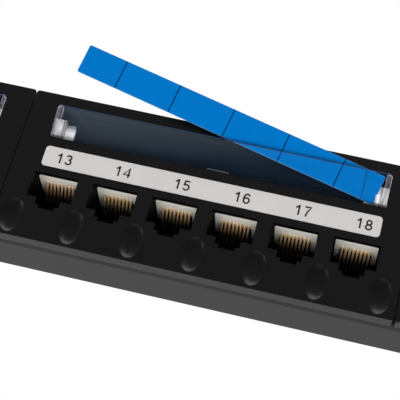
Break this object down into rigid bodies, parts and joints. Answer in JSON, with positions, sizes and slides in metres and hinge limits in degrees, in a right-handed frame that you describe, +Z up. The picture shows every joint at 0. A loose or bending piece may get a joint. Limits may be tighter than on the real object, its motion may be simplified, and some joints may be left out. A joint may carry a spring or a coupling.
{
  "type": "patch panel",
  "caption": "Rack-mount patch panel with rows of modular jacks, hinged clear label covers, number strips and rear punch-down blocks.",
  "frame": {"origin": "centre of the pattern of rack slots, on the rear face of the mounting ears", "axes": "+X along the panel to the right as seen from the front, +Y into the rack, +Z up"},
  "size_m": [0.4826, 0.0353, 0.0575],
  "materials": {
    "steel_panel": "fine textured black powder coat",
    "bezel": "moulded black plastic, satin",
    "number_strip": "pale grey strip, satin",
    "jack_frame": "moulded black plastic",
    "contact": "gold-plated spring contacts",
    "circuit_board": "solder-masked board",
    "idc_block": "moulded black plastic",
    "contact_insert": "moulded ivory plastic",
    "label_cover": "clear moulded plastic",
    "label_strip": "blue printed card"
  },
  "bodies": {
    "panel": {"steel_panel": "steel_panel", "bezel_1": "bezel", "number_strip_1": "number_strip", "jack_frame_1": "jack_frame", "jack_contacts_1": "contact", "circuit_board_1": "circuit_board", "idc_block_1_upper": "idc_block", "idc_block_1_lower": "idc_block", "contact_insert_01": "contact_insert", "contact_insert_02": "contact_insert", "contact_insert_03": "contact_insert", "contact_insert_04": "contact_insert", "contact_insert_05": "contact_insert", "contact_insert_06": "contact_insert", "bezel_2": "bezel", "number_strip_2": "number_strip", "jack_frame_2": "jack_frame", "jack_contacts_2": "contact", "circuit_board_2": "circuit_board", "idc_block_2_upper": "idc_block", "idc_block_2_lower": "idc_block", "contact_insert_07": "contact_insert", "contact_insert_08": "contact_insert", "contact_insert_09": "contact_insert", "contact_insert_10": "contact_insert", "contact_insert_11": "contact_insert", "contact_insert_12": "contact_insert", "bezel_3": "bezel", "number_strip_3": "number_strip", "jack_frame_3": "jack_frame", "jack_contacts_3": "contact", "circuit_board_3": "circuit_board", "idc_block_3_upper": "idc_block", "idc_block_3_lower": "idc_block", "contact_insert_13": "contact_insert", "contact_insert_14": "contact_insert", "contact_insert_15": "contact_insert", "contact_insert_16": "contact_insert", "contact_insert_17": "contact_insert", "contact_insert_18": "contact_insert", "bezel_4": "bezel", "number_strip_4": "number_strip", "jack_frame_4": "jack_frame", "jack_contacts_4": "contact", "circuit_board_4": "circuit_board", "idc_block_4_upper": "idc_block", "idc_block_4_lower": "idc_block", "contact_insert_19": "contact_insert", "contact_insert_20": "contact_insert", "contact_insert_21": "contact_insert", "contact_insert_22": "contact_insert", "contact_insert_23": "contact_insert", "contact_insert_24": "contact_insert"},
    "cover_1": {"label_cover_1": "label_cover"},
    "cover_2": {"label_cover_2": "label_cover"},
    "cover_3": {"label_cover_3": "label_cover", "label_strip": "label_strip"},
    "cover_4": {"label_cover_4": "label_cover"}
  },
  "joints": [
    {"name": "cover_1_hinge", "type": "hinge", "parent": "panel", "child": "cover_1", "pos_m": [-0.16005, -0.0051, 0.00975], "axis": [1, 0, 0], "range_deg": [0, 90]},
    {"name": "cover_2_hinge", "type": "hinge", "parent": "panel", "child": "cover_2", "pos_m": [-0.05335, -0.0051, 0.00975], "axis": [1, 0, 0], "range_deg": [0, 90]},
    {"name": "cover_3_hinge", "type": "hinge", "parent": "panel", "child": "cover_3", "pos_m": [0.05335, -0.0051, 0.00975], "axis": [1, 0, 0], "range_deg": [0, 74]},
    {"name": "cover_4_hinge", "type": "hinge", "parent": "panel", "child": "cover_4", "pos_m": [0.16005, -0.0051, 0.00975], "axis": [1, 0, 0], "range_deg": [0, 90]}
  ]
}
